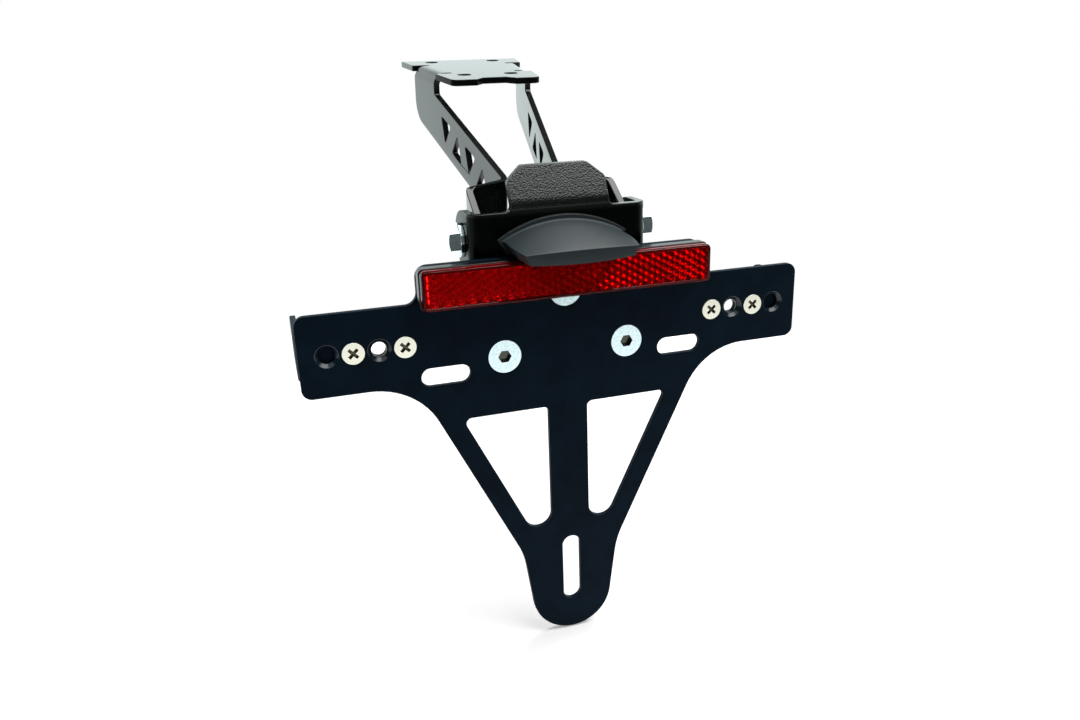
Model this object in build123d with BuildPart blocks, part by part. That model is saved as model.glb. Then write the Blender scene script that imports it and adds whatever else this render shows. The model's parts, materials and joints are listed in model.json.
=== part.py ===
from build123d import *
import os
from math import cos, radians, sin, tan

# Tail tidy for a motorbike. A folded steel bracket bolts up under the tail, a second folded bracket
# tilts on it, and that one carries the number plate carrier with its reflector, lamp and indicator
# brackets. Millimetres. The origin is on the upper face of the subframe plate, midway between its
# two rows of holes. +X is to the right seen from behind the bike, -Y points back to that viewer, and
# +Z is up.

os.makedirs("parts", exist_ok=True)

# Sheet thicknesses
bracket_sheet = 2.5
tilt_sheet = 3.0
carrier_sheet = 2.5
indicator_sheet = 2.0

# Subframe plate: the flat top of the subframe bracket
plate_rear = 29.0
plate_front = 37.0
plate_half = 23.0  # half width at the origin, out to the arms' outer faces
plate_corner = 3.0
arm_converge = 7.6  # each arm leans in by this angle going forward, in degrees
subframe_hole = 5.5
hole_row_gap = 45.0
rear_hole_gap = 28.4
front_hole_gap = 19.8
notch_half = 4.5
notch_side = 3.5
notch_depth = 4.0
relief_width = 2.4
relief_depth = 7.0

# Arms of the subframe bracket, as sheets seen from the side
arm_front = 14.3
arm_rear = 11.0
kink_drop = 8.5
kink_radius = 1.5
arm_slope = 15.8
arm_width = 19.0
heel_radius = 10.0
bend_inside = 2.5
ear_length = 10.6  # from the flange's bend to the hinge line
flange_depth = 8.7  # how far the flange slants along the bike
eye_radius = 8.5

# Row of triangles that lightens each arm
truss_start = 21.9
truss_margin = 5.2
truss_pitch = 27.3
truss_base = 10.6
truss_height = 9.3
truss_apex = 6.4
truss_step = 14.6
truss_corner = 0.7
truss_count = 2

# Hinge that sets the carrier's angle
pivot_reach = 104.2
pivot_drop = 43.5
carrier_tilt = 7.05
pivot_to_wall = 12.9
tilt_inner = 28.8
tilt_ear_radius = 10.0
tilt_bend_inside = 2.0
pivot_gap = 0.05
friction_washer = 1.0
friction_washer_radius = 8.0

# M6 hardware
m6 = 6.0
m6_hole = 6.2
m6_flats = 10.0
m6_head = 4.0
m6_head_turn = -10.0  # how far the hinge bolts' heads are turned, in degrees
m6_washer = 1.6
m6_washer_radius = 6.0
m6_nut = 5.0
m6_lock_nut = 6.0
m6_sunk_head = 11.8
m6_wall_hole = 7.2
m6_socket = 4.0
m6_socket_depth = 1.8
bolt_end = 1.4  # thread that shows past a nut
thread_gap = 0.05  # between a thread and its nut or seat

# M4 hardware
m4 = 4.0
m4_hole = 4.6
m4_flats = 7.0
m4_nut = 3.2
m4_sunk_head = 7.5
m4_end = 0.6
cross_length = 4.0
cross_width = 1.0
cross_depth = 1.2
m4_pan_radius = 3.6
m4_pan_height = 2.6

# Tilt bracket: wall below the ears and tongue above them
wall_neck_half = 26.0
wall_foot_half = 30.5
wall_foot_rise = 14.0
wall_foot_radius = 8.0
wall_foot = 47.0
tongue_half = 17.4
tongue_bend = 12.2
tongue_lean = 27.0
tongue_bend_radius = 6.0
tongue_top = 24.4
tongue_top_half = 11.6
tongue_shoulder = 19.6
tongue_corner = 2.0
tongue_root_radius = 2.0

# Plate carrier, measured from the row of small screws
row_drop = 31.0
carrier_half = 91.0
wing_half = 14.0
wing_corner = 3.5
tab_half = 51.3
tab_top = 26.6
tab_corner = 4.0
tab_root = 4.0
knee_radius = 25.0
slant = 64.2
neck_angle = 8.0
neck_length = 21.5
neck_radius = 30.0
tip_radius = 15.6
tip_centre = 106.2
triangle_top = 28.6
triangle_inner = 7.3
triangle_outer = 38.6
triangle_corner = 2.0
triangle_foot_radius = 5.2
slot_offset = 43.3
slot_drop = 11.8
slot_length = 17.0
slot_width = 6.5
foot_slot_centre = 95.8
foot_slot_length = 27.3
foot_slot_width = 7.0
screw_pitch = 8.5
end_hole = 9.15  # from the carrier's end to the last hole of the row
row_holes = 4
spare_hole = 5.0
spare_sink = 7.9
carrier_screw_half = 22.6
carrier_screw_drop = 7.7
carrier_screw_rise = 13.7

# Indicator brackets behind the carrier's ends
indicator_margin = 4.85  # from the first screw to the bracket's inner end
indicator_edge = 0.4  # how far the flange stands past the carrier's end
indicator_half = 8.5  # half the strip's width
indicator_flange = 26.0
indicator_bend_inside = 1.0
indicator_stem_hole = 10.2
indicator_stem_back = 14.5
indicator_corner = 4.0

# Reflector on the tab
pad_thickness = 0.8
pad_inset = 2.0
housing_length = 102.6
housing_height = 14.0
housing_depth = 4.2
housing_corner = 2.0
lens_inset = 0.4
lens_depth = 3.5
lens_edge = 0.8

# Number plate lamp on the wall, heights measured from the hinge line
gasket_thickness = 0.8
gasket_rim = 0.2
lamp_tip_half = 22.8
lamp_tip_rise = 1.3
lamp_crown = 8.1
lamp_foot_half = 19.7
lamp_flange = 0.8
lamp_clear = 0.5  # between the carrier's tab and the lamp's sole
hood_tip_step = 1.8  # how far the hood stands in from the flange, at its tips
hood_tip_rise = 0.8
hood_crown = 6.6
hood_foot_step = 1.2  # and at its foot
hood_root_radius = 1.0
belly_reach = 10.0
belly_half = 20.9
belly_rise = 0.5
belly_crown = 4.0
belly_foot_half = 18.2
lamp_reach = 20.2
lip_half = 19.4
lip_top = -0.5
lip_crown = 0.2
lip_foot_half = 17.9
lip_bow = 0.9
sole_hollow = 0.2
lamp_edge = 0.25
lamp_well_half = 13.0
lamp_well_near = 6.0
lamp_well_far = 15.0
lamp_well_depth = 3.6
lens_plate = 1.4
lens_gap = 0.1
board_thickness = 1.2
diode_side = 2.8
diode_height = 0.7
diode_gap = 8.0
diode_count = 3
lamp_screw_half = 11.5
lamp_screw_rise = 1.5
lamp_screw_depth = 5.0
grommet_hole = 8.0
grommet_lip = 1.2
grommet_bore = 4.5
grommet_lip_radius = 5.5

# Values worked out from those above
lean_in = tan(radians(arm_converge))
arm_half_sheet = bracket_sheet / 2 / cos(radians(arm_converge))
bend_mid = bend_inside + bracket_sheet / 2
fall = tan(radians(arm_slope))
ear_half = tilt_inner - friction_washer - 2 * pivot_gap - bracket_sheet / 2
flange_reach = pivot_reach - ear_length
nose_reach = flange_reach - flange_depth
nose_top = -kink_drop - (nose_reach - arm_front) * fall
arm_height = arm_width / cos(radians(arm_slope))
flange_foot = -kink_drop - (flange_reach - arm_front) * fall - arm_height
heel_drop = -kink_drop + (arm_rear + arm_front) * fall - arm_height
tilt_half = tilt_inner + tilt_sheet / 2
tilt_outer = tilt_inner + tilt_sheet
wall_mid = pivot_to_wall - tilt_sheet / 2
hexagon_radius = m6_flats / 2
first_screw = carrier_half - end_hole - (row_holes - 1) * screw_pitch
reflector_centre = tab_top - housing_height / 2
lamp_sole = tab_top - row_drop + lamp_clear
hood_tip_half = lamp_tip_half - hood_tip_step
hood_foot_half = lamp_foot_half - hood_foot_step
far = 4 * plate_rear  # longer than any arm is wide, for cuts right through

# Planes: hinge has x to the right, y up the carrier and z out of its front face
hinge = Plane(
    origin=(0, -pivot_reach, -pivot_drop),
    x_dir=(1, 0, 0),
    z_dir=(0, -cos(radians(carrier_tilt)), sin(radians(carrier_tilt))),
)
wall_face = hinge.offset(pivot_to_wall)
row_face = Plane(
    origin=wall_face.origin - wall_face.y_dir * row_drop,
    x_dir=wall_face.x_dir,
    z_dir=wall_face.z_dir,
)
carrier_face = row_face.offset(carrier_sheet)
hinge_plan = Plane(origin=hinge.origin, x_dir=hinge.x_dir, z_dir=hinge.y_dir)
hinge_side = Plane(origin=hinge.origin, x_dir=-hinge.z_dir, z_dir=hinge.x_dir)
row_plan = Plane(origin=row_face.origin, x_dir=row_face.x_dir, z_dir=row_face.y_dir)


def side_point(y, inset):
    """Point on the subframe plate at y, a distance in from the arm's outer face."""
    return (plate_half + y * lean_in - inset / cos(radians(arm_converge)), y)


def arm_mid(y):
    """Middle of the arm's sheet at y, seen from above."""
    return (plate_half - arm_half_sheet + y * lean_in, y)


def save(builder, name):
    """Label a finished piece and write it to its own file."""
    builder.part.label = name
    export_step(builder.part, f"parts/{name}.step")


# Right arm with its joggled flange and ear. The fold is drawn from above as one bent strip, and the
# side outline trims it: a sloping band, a level flange top and a rounded eye at the hinge.
with BuildPart() as arm:
    with BuildSketch(Plane.XY):
        with BuildLine():
            FilletPolyline(
                arm_mid(plate_rear),
                arm_mid(-nose_reach),
                (ear_half, -flange_reach),
                (ear_half, -pivot_reach - 2 * eye_radius),
                radius=bend_mid,
            )
        trace(line_width=bracket_sheet)
    extrude(amount=-(pivot_drop + 2 * eye_radius))
    with BuildSketch(Plane.YZ):
        with BuildLine():
            Line((-flange_reach, nose_top), (-flange_reach, flange_foot))
            CenterArc((-pivot_reach, -pivot_drop), eye_radius, 0, 360)
        make_hull()
        with BuildLine():
            FilletPolyline(
                (arm_rear, 0),
                (-arm_front, 0),
                (-arm_front, -kink_drop),
                (-nose_reach, nose_top),
                (-flange_reach, nose_top),
                (-flange_reach, flange_foot),
                (arm_rear, heel_drop),
                radius=(0, 0, kink_radius, 0, 0, 0, heel_radius),
                close=True,
            )
        make_face()
    extrude(amount=far, mode=Mode.INTERSECT)

    # Two pairs of triangles, point down and point up in turn, along the slope of the arm
    arm_along = Vector(sin(radians(arm_converge)), cos(radians(arm_converge)), 0)
    truss_fall = (truss_start - arm_front) * fall + truss_margin / cos(radians(arm_slope))
    truss_face = Plane(
        origin=(*side_point(-truss_start, 0), -kink_drop - truss_fall),
        x_dir=-arm_along * cos(radians(arm_slope)) - Vector(0, 0, sin(radians(arm_slope))),
        z_dir=(cos(radians(arm_converge)), -sin(radians(arm_converge)), 0),
    )
    with BuildSketch(truss_face) as truss:
        for pair in range(truss_count):
            with Locations((pair * truss_pitch, 0)):
                Polygon((0, 0), (truss_base, 0), (truss_apex, truss_height), align=None)
                Polygon(
                    (truss_step, truss_height),
                    (truss_step + truss_base, truss_height),
                    (truss_step + truss_base - truss_apex, 0),
                    align=None,
                )
        fillet(truss.vertices(), truss_corner)
    extrude(amount=bracket_sheet, both=True, mode=Mode.SUBTRACT)
    with BuildSketch(Plane.YZ):
        with Locations((-pivot_reach, -pivot_drop)):
            Circle(m6_hole / 2)
    extrude(amount=far, mode=Mode.SUBTRACT)

# Subframe bracket: the slotted top plate, with an arm folded down from each side between relief cuts
with BuildPart() as subframe_bracket:
    with BuildSketch() as plate_outline:
        with BuildLine():
            Polyline(
                (0, plate_rear),
                side_point(plate_rear, 0),
                side_point(-plate_front, 0),
                (notch_half + notch_side, -plate_front),
                (notch_half, -plate_front + notch_depth),
                (0, -plate_front + notch_depth),
            )
            mirror(about=Plane.YZ)
        make_face()
        fillet(plate_outline.vertices().group_by(Axis.Y)[0].sort_by(Axis.X)[0], plate_corner)
        fillet(plate_outline.vertices().group_by(Axis.Y)[0].sort_by(Axis.X)[-1], plate_corner)
        for near, away in ((arm_rear, arm_rear + relief_width), (-arm_front - relief_width, -arm_front)):
            corners = [
                side_point(near, -relief_depth),
                side_point(away, -relief_depth),
                side_point(away, relief_depth),
                side_point(near, relief_depth),
            ]
            Polygon(*corners, align=None, mode=Mode.SUBTRACT)
            Polygon(*[(-x, y) for x, y in corners], align=None, mode=Mode.SUBTRACT)
        with Locations((0, hole_row_gap / 2)):
            with GridLocations(rear_hole_gap, 0, 2, 1):
                Circle(subframe_hole / 2, mode=Mode.SUBTRACT)
        with Locations((0, -hole_row_gap / 2)):
            with GridLocations(front_hole_gap, 0, 2, 1):
                Circle(subframe_hole / 2, mode=Mode.SUBTRACT)
    extrude(amount=-bracket_sheet)
    add(arm.part)
    add(mirror(arm.part, about=Plane.YZ, mode=Mode.PRIVATE))
    along_bend = subframe_bracket.edges().filter_by(
        lambda edge: edge.geom_type == GeomType.LINE
        and abs(edge.length - (arm_front + arm_rear) / cos(radians(arm_converge))) < relief_width / 4
    )
    fillet(along_bend.group_by(Axis.Z)[-1], bend_inside + bracket_sheet)
    inner_bend = subframe_bracket.edges().filter_by(
        lambda edge: edge.geom_type == GeomType.LINE
        and abs(edge.center().Z + bracket_sheet) < thread_gap
        and abs(edge.length - (arm_front + arm_rear) / cos(radians(arm_converge))) < relief_width / 4
    )
    fillet(inner_bend, bend_inside)
save(subframe_bracket, "subframe_bracket")

# Tongue of the tilt bracket: the wall carried up and bent back, with its top corners cut off
with BuildPart() as tongue:
    with BuildSketch(hinge_side):
        with BuildLine():
            lean_rise = 2 * tongue_top
            FilletPolyline(
                (-wall_mid, 0),
                (-wall_mid, tongue_bend),
                (-wall_mid + lean_rise * tan(radians(tongue_lean)), tongue_bend + lean_rise),
                radius=tongue_bend_radius,
            )
        trace(line_width=tilt_sheet)
    root_half = tongue_half + 2 * tongue_root_radius
    extrude(amount=root_half, both=True)
    with BuildSketch(hinge) as tongue_outline:
        with BuildLine():
            FilletPolyline(
                (root_half, 0),
                (root_half, tilt_ear_radius),
                (tongue_half, tilt_ear_radius),
                (tongue_half, tongue_shoulder),
                (tongue_top_half, tongue_top),
                (-tongue_top_half, tongue_top),
                (-tongue_half, tongue_shoulder),
                (-tongue_half, tilt_ear_radius),
                (-root_half, tilt_ear_radius),
                (-root_half, 0),
                radius=[0, 0, tongue_root_radius] + 4 * [tongue_corner] + [tongue_root_radius, 0, 0],
                close=True,
            )
        make_face()
    extrude(amount=far, both=True, mode=Mode.INTERSECT)

# Tilt bracket: a U of sheet with rounded ears, its wall carried down behind the carrier
with BuildPart() as tilt_bracket:
    with BuildSketch(hinge_plan):
        with BuildLine():
            FilletPolyline(
                (tilt_half, 2 * tilt_ear_radius),
                (tilt_half, -wall_mid),
                (-tilt_half, -wall_mid),
                (-tilt_half, 2 * tilt_ear_radius),
                radius=tilt_bend_inside + tilt_sheet / 2,
            )
        trace(line_width=tilt_sheet)
    extrude(amount=tilt_ear_radius, both=True)
    with BuildSketch(hinge_side):
        Circle(tilt_ear_radius)
        with Locations((-pivot_to_wall / 2, 0)):
            Rectangle(pivot_to_wall, 2 * tilt_ear_radius)
    extrude(amount=far, both=True, mode=Mode.INTERSECT)
    with BuildSketch(wall_face):
        with BuildLine():
            FilletPolyline(
                (wall_neck_half, 0),
                (wall_neck_half, -tilt_ear_radius),
                (wall_foot_half, -wall_foot + wall_foot_rise),
                (wall_foot_half, -wall_foot),
                (-wall_foot_half, -wall_foot),
                (-wall_foot_half, -wall_foot + wall_foot_rise),
                (-wall_neck_half, -tilt_ear_radius),
                (-wall_neck_half, 0),
                radius=[0, 0] + 4 * [wall_foot_radius] + [0, 0],
                close=True,
            )
        make_face()
    extrude(amount=-tilt_sheet)
    add(tongue.part)
    with BuildSketch(hinge_side):
        Circle(m6_hole / 2)
    extrude(amount=far, both=True, mode=Mode.SUBTRACT)
    with BuildSketch(row_face):
        with Locations(
            (0, carrier_screw_rise),
            (carrier_screw_half, -carrier_screw_drop),
            (-carrier_screw_half, -carrier_screw_drop),
        ):
            Circle(m6_wall_hole / 2)
    extrude(amount=-tilt_sheet, mode=Mode.SUBTRACT)
    with BuildSketch(wall_face):
        with Locations((lamp_screw_half, lamp_screw_rise), (-lamp_screw_half, lamp_screw_rise)):
            Circle(m4_hole / 2)
        with Locations((0, lamp_screw_rise)):
            Circle(grommet_hole / 2)
    extrude(amount=-tilt_sheet, mode=Mode.SUBTRACT)
save(tilt_bracket, "tilt_bracket")

# Plate carrier: one flat cut plate. Half its outline is drawn and mirrored, then the cut-outs.
with BuildPart() as plate_carrier:
    tip_join = (tip_radius * cos(radians(neck_angle)), -tip_centre - tip_radius * sin(radians(neck_angle)))
    neck = (
        tip_join[0] + neck_length * sin(radians(neck_angle)),
        tip_join[1] + neck_length * cos(radians(neck_angle)),
    )
    knee = (neck[0] + (-wing_half - neck[1]) / tan(radians(slant)), -wing_half)
    with BuildSketch(row_face):
        with BuildLine():
            FilletPolyline(
                (0, tab_top),
                (tab_half, tab_top),
                (tab_half, wing_half),
                (carrier_half, wing_half),
                (carrier_half, -wing_half),
                knee,
                neck,
                tip_join,
                radius=(tab_corner, tab_root, wing_corner, wing_corner, knee_radius, neck_radius),
            )
            CenterArc((0, -tip_centre), tip_radius, -neck_angle, neck_angle - 90)
            mirror(about=Plane.YZ)
        make_face()
        triangle_foot = -triangle_top - (triangle_outer - triangle_inner) * tan(radians(slant))
        for side in (-1, 1):
            with BuildLine():
                FilletPolyline(
                    (side * triangle_inner, -triangle_top),
                    (side * triangle_outer, -triangle_top),
                    (side * triangle_inner, triangle_foot),
                    radius=(triangle_corner, triangle_corner, triangle_foot_radius),
                    close=True,
                )
            make_face(mode=Mode.SUBTRACT)
        with Locations((slot_offset, -slot_drop), (-slot_offset, -slot_drop)):
            SlotOverall(slot_length, slot_width, mode=Mode.SUBTRACT)
        with Locations((0, -foot_slot_centre)):
            SlotOverall(foot_slot_length, foot_slot_width, rotation=90, mode=Mode.SUBTRACT)
    extrude(amount=carrier_sheet)
    screw_row = [side * (first_screw + step * screw_pitch) for side in (-1, 1) for step in range(row_holes)]
    screw_places = [u for place, u in enumerate(screw_row) if place % 2 == 0]
    spare_places = [u for place, u in enumerate(screw_row) if place % 2 == 1]
    with Locations(carrier_face):
        with Locations(*[(u, 0) for u in screw_places]):
            CounterSinkHole(m4_hole / 2, m4_sunk_head / 2 + thread_gap, counter_sink_angle=90)
        with Locations(*[(u, 0) for u in spare_places]):
            CounterSinkHole(spare_hole / 2, spare_sink / 2, counter_sink_angle=90)
        with Locations(
            (0, carrier_screw_rise),
            (carrier_screw_half, -carrier_screw_drop),
            (-carrier_screw_half, -carrier_screw_drop),
        ):
            CounterSinkHole(m6_hole / 2, m6_sunk_head / 2 + thread_gap, counter_sink_angle=90)
save(plate_carrier, "plate_carrier")

# Carrier screws: three M6 countersunk socket screws, flush in the carrier's front face
with BuildPart() as carrier_screws:
    screw_length = carrier_sheet + tilt_sheet + m6_nut + bolt_end
    with Locations(carrier_face):
        with Locations(
            (0, carrier_screw_rise),
            (carrier_screw_half, -carrier_screw_drop),
            (-carrier_screw_half, -carrier_screw_drop),
        ):
            Cylinder(m6 / 2, screw_length, align=(Align.CENTER, Align.CENTER, Align.MAX))
            Cone(
                m6 / 2,
                m6_sunk_head / 2,
                (m6_sunk_head - m6) / 2,
                align=(Align.CENTER, Align.CENTER, Align.MAX),
            )
    with BuildSketch(carrier_face):
        with Locations(
            (0, carrier_screw_rise),
            (carrier_screw_half, -carrier_screw_drop),
            (-carrier_screw_half, -carrier_screw_drop),
        ):
            RegularPolygon(m6_socket / 2, 6, major_radius=False)
    extrude(amount=-m6_socket_depth, mode=Mode.SUBTRACT)
save(carrier_screws, "carrier_screws")

# Carrier nuts: three M6 nuts behind the tilt bracket's wall
with BuildPart() as carrier_nuts:
    with BuildSketch(row_face.offset(-tilt_sheet)):
        with Locations(
            (0, carrier_screw_rise),
            (carrier_screw_half, -carrier_screw_drop),
            (-carrier_screw_half, -carrier_screw_drop),
        ):
            RegularPolygon(hexagon_radius, 6, major_radius=False)
            Circle(m6 / 2 + thread_gap, mode=Mode.SUBTRACT)
    extrude(amount=-m6_nut)
save(carrier_nuts, "carrier_nuts")

# Indicator brackets, their screws and their nuts, one set at each end of the carrier
for side, hand in ((-1, "left"), (1, "right")):
    flange_mid = carrier_half + indicator_edge - indicator_sheet / 2
    hand_places = [side * (first_screw + step * screw_pitch) for step in (0, 2)]
    open_place = side * (first_screw + screw_pitch)
    with BuildPart() as indicator_bracket:
        with BuildSketch(row_plan):
            with BuildLine():
                FilletPolyline(
                    (side * (first_screw - indicator_margin), indicator_sheet / 2),
                    (side * flange_mid, indicator_sheet / 2),
                    (side * flange_mid, indicator_flange),
                    radius=indicator_bend_inside + indicator_sheet / 2,
                )
            trace(line_width=indicator_sheet)
        extrude(amount=indicator_half, both=True)
        with BuildSketch(row_face):
            with Locations(*[(u, 0) for u in hand_places]):
                Circle(m4_hole / 2)
            with Locations((open_place, 0)):
                Circle(spare_hole / 2)
        extrude(amount=-indicator_sheet, mode=Mode.SUBTRACT)
        with BuildSketch(Plane(row_face.origin, x_dir=-row_face.z_dir, z_dir=row_face.x_dir)):
            with Locations((indicator_stem_back, 0)):
                Circle(indicator_stem_hole / 2)
        extrude(amount=side * 2 * carrier_half, mode=Mode.SUBTRACT)
        flange_end = indicator_bracket.edges().filter_by(Axis.X).sort_by(
            Axis(row_face.origin, -row_face.z_dir)
        )[-2:]
        fillet(flange_end, indicator_corner)
    save(indicator_bracket, f"indicator_bracket_{hand}")

    with BuildPart() as indicator_screws:
        screw_length = carrier_sheet + indicator_sheet + m4_nut + m4_end
        with Locations(carrier_face):
            with Locations(*[(u, 0) for u in hand_places]):
                Cylinder(m4 / 2, screw_length, align=(Align.CENTER, Align.CENTER, Align.MAX))
                Cone(
                    m4 / 2,
                    m4_sunk_head / 2,
                    (m4_sunk_head - m4) / 2,
                    align=(Align.CENTER, Align.CENTER, Align.MAX),
                )
        with BuildSketch(carrier_face):
            with Locations(*[(u, 0) for u in hand_places]):
                Rectangle(cross_length, cross_width, rotation=45)
                Rectangle(cross_width, cross_length, rotation=45)
        extrude(amount=-cross_depth, mode=Mode.SUBTRACT)
    save(indicator_screws, f"indicator_screws_{hand}")

    with BuildPart() as indicator_nuts:
        with BuildSketch(row_face.offset(-indicator_sheet)):
            with Locations(*[(u, 0) for u in hand_places]):
                RegularPolygon(m4_flats / 2, 6, major_radius=False)
                Circle(m4 / 2 + thread_gap, mode=Mode.SUBTRACT)
        extrude(amount=-m4_nut)
    save(indicator_nuts, f"indicator_nuts_{hand}")

# Reflector: a foam pad on the tab, a black housing and the red lens in front of it
with BuildPart() as reflector_pad:
    with BuildSketch(carrier_face):
        with Locations((0, reflector_centre)):
            Rectangle(housing_length - 2 * pad_inset, housing_height - 2 * pad_inset)
    extrude(amount=pad_thickness)
save(reflector_pad, "reflector_pad")

with BuildPart() as reflector_housing:
    with BuildSketch(carrier_face.offset(pad_thickness)):
        with Locations((0, reflector_centre)):
            RectangleRounded(housing_length, housing_height, housing_corner)
    extrude(amount=housing_depth)
save(reflector_housing, "reflector_housing")

with BuildPart() as reflector_lens:
    with BuildSketch(carrier_face.offset(pad_thickness + housing_depth)):
        with Locations((0, reflector_centre)):
            RectangleRounded(
                housing_length - 2 * lens_inset,
                housing_height - 2 * lens_inset,
                housing_corner - lens_inset,
            )
    extrude(amount=lens_depth)
    fillet(reflector_lens.faces().sort_by(Axis(row_face.origin, row_face.z_dir))[-1].edges(), lens_edge)
save(reflector_lens, "reflector_lens")


def lamp_section(plane, foot_half, bow, tip_half, tip_rise, crown, grow):
    """Eye-shaped section of the lamp: bowed sole, short sides and an arched top, grown by a rim."""
    with BuildSketch(plane) as section:
        with BuildLine():
            foot, tip, low = foot_half + grow, tip_half + grow, lamp_sole - grow
            ThreePointArc((-foot, low), (0, low - bow), (foot, low))
            Line((foot, low), (tip, tip_rise))
            ThreePointArc((tip, tip_rise), (0, crown + grow), (-tip, tip_rise))
            Line((-tip, tip_rise), (-foot, low))
        make_face()
    return section.sketch


# Lamp gasket: rubber between the lamp and the wall, with holes for its screws and its lead
lamp_base = wall_face.offset(gasket_thickness)
with BuildPart() as lamp_gasket:
    outline = lamp_section(
        wall_face, lamp_foot_half, -sole_hollow, lamp_tip_half, lamp_tip_rise, lamp_crown, gasket_rim
    )
    extrude(outline.face(), amount=gasket_thickness)
    with BuildSketch(wall_face):
        with Locations((lamp_screw_half, lamp_screw_rise), (-lamp_screw_half, lamp_screw_rise)):
            Circle(m4_hole / 2)
        with Locations((0, lamp_screw_rise)):
            Circle(grommet_bore / 2)
    extrude(amount=gasket_thickness, mode=Mode.SUBTRACT)
save(lamp_gasket, "lamp_gasket")

# Lamp housing: an eye-shaped flange, a hood lofted from it over a full belly to the narrow front lip, and
# a well underneath
sole_plane = Plane(
    origin=lamp_base.origin + lamp_base.y_dir * lamp_sole, x_dir=lamp_base.x_dir, z_dir=-lamp_base.y_dir
)
well_centre = (0, (lamp_well_near + lamp_well_far) / 2)
with BuildPart() as lamp_housing:
    belly_face = lamp_base.offset(belly_reach)
    lip_face = lamp_base.offset(lamp_reach)
    back = lamp_section(lamp_base, lamp_foot_half, -sole_hollow, lamp_tip_half, lamp_tip_rise, lamp_crown, 0)
    root = lamp_section(lamp_base, hood_foot_half, -sole_hollow, hood_tip_half, hood_tip_rise, hood_crown, 0)
    belly = lamp_section(belly_face, belly_foot_half, sole_hollow, belly_half, belly_rise, belly_crown, 0)
    front = lamp_section(lip_face, lip_foot_half, lip_bow, lip_half, lip_top, lip_top + lip_crown, 0)
    loft([root.face(), belly.face(), front.face()])
    fillet(lamp_housing.faces().sort_by(Axis(row_face.origin, row_face.z_dir))[-1].edges(), lamp_edge)
    extrude(back.face(), amount=lamp_flange)
    rim_face = lamp_housing.faces().filter_by(
        lambda face: face.geom_type == GeomType.PLANE
        and abs((face.center() - lamp_base.origin).dot(lamp_base.z_dir) - lamp_flange) < thread_gap
    )
    fillet(rim_face.edges().filter_by(GeomType.BSPLINE), hood_root_radius)
    with BuildSketch(sole_plane.offset(-lamp_well_depth)):
        with Locations(well_centre):
            Rectangle(2 * lamp_well_half, lamp_well_far - lamp_well_near)
    extrude(amount=2 * lamp_well_depth, mode=Mode.SUBTRACT)
    with BuildSketch(lamp_base):
        with Locations((lamp_screw_half, lamp_screw_rise), (-lamp_screw_half, lamp_screw_rise)):
            Circle(m4 / 2 + thread_gap)
    extrude(amount=lamp_screw_depth, mode=Mode.SUBTRACT)
    with BuildSketch(lamp_base):
        with Locations((0, lamp_screw_rise)):
            Circle(grommet_bore / 2)
    extrude(amount=lamp_well_near, mode=Mode.SUBTRACT)
save(lamp_housing, "lamp_housing")

# Lamp lens, board and diodes, stacked in the well
with BuildPart() as lamp_lens:
    with BuildSketch(sole_plane):
        with Locations(well_centre):
            Rectangle(2 * (lamp_well_half - lens_gap), lamp_well_far - lamp_well_near - 2 * lens_gap)
    extrude(amount=-lens_plate)
save(lamp_lens, "lamp_lens")

with BuildPart() as lamp_board:
    with BuildSketch(sole_plane.offset(-lamp_well_depth)):
        with Locations(well_centre):
            Rectangle(2 * (lamp_well_half - lens_gap), lamp_well_far - lamp_well_near - 2 * lens_gap)
    extrude(amount=board_thickness)
save(lamp_board, "lamp_board")

with BuildPart() as lamp_diodes:
    with BuildSketch(sole_plane.offset(board_thickness - lamp_well_depth)):
        with Locations(well_centre):
            with GridLocations(diode_gap, 0, diode_count, 1):
                Rectangle(diode_side, diode_side)
    extrude(amount=diode_height)
save(lamp_diodes, "lamp_diodes")

# Lamp screws: two M4 pan heads through the wall into the back of the lamp
with BuildPart() as lamp_screws:
    with Locations(wall_face.offset(-tilt_sheet)):
        with Locations((lamp_screw_half, lamp_screw_rise), (-lamp_screw_half, lamp_screw_rise)):
            Cylinder(
                m4 / 2,
                tilt_sheet + gasket_thickness + lamp_screw_depth - 2 * thread_gap,
                align=(Align.CENTER, Align.CENTER, Align.MIN),
            )
            Cylinder(m4_pan_radius, m4_pan_height, align=(Align.CENTER, Align.CENTER, Align.MAX))
    pan_tops = lamp_screws.faces().sort_by(Axis(wall_face.origin, wall_face.z_dir))[:2]
    fillet(pan_tops.edges(), m4_pan_height / 3)
    with BuildSketch(wall_face.offset(-tilt_sheet - m4_pan_height)):
        with Locations((lamp_screw_half, lamp_screw_rise), (-lamp_screw_half, lamp_screw_rise)):
            Rectangle(cross_length, cross_width)
            Rectangle(cross_width, cross_length)
    extrude(amount=cross_depth, mode=Mode.SUBTRACT)
save(lamp_screws, "lamp_screws")

# Grommet: a rubber bush in the wall, where the lamp's lead would pass
with BuildPart() as lamp_grommet:
    with BuildSketch(wall_face.offset(-tilt_sheet - grommet_lip)):
        with Locations((0, lamp_screw_rise)):
            Circle(grommet_lip_radius)
            Circle(grommet_bore / 2, mode=Mode.SUBTRACT)
    extrude(amount=grommet_lip)
    with BuildSketch(wall_face.offset(-tilt_sheet)):
        with Locations((0, lamp_screw_rise)):
            Circle(grommet_hole / 2 - thread_gap)
            Circle(grommet_bore / 2, mode=Mode.SUBTRACT)
    extrude(amount=tilt_sheet)
save(lamp_grommet, "lamp_grommet")

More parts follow.
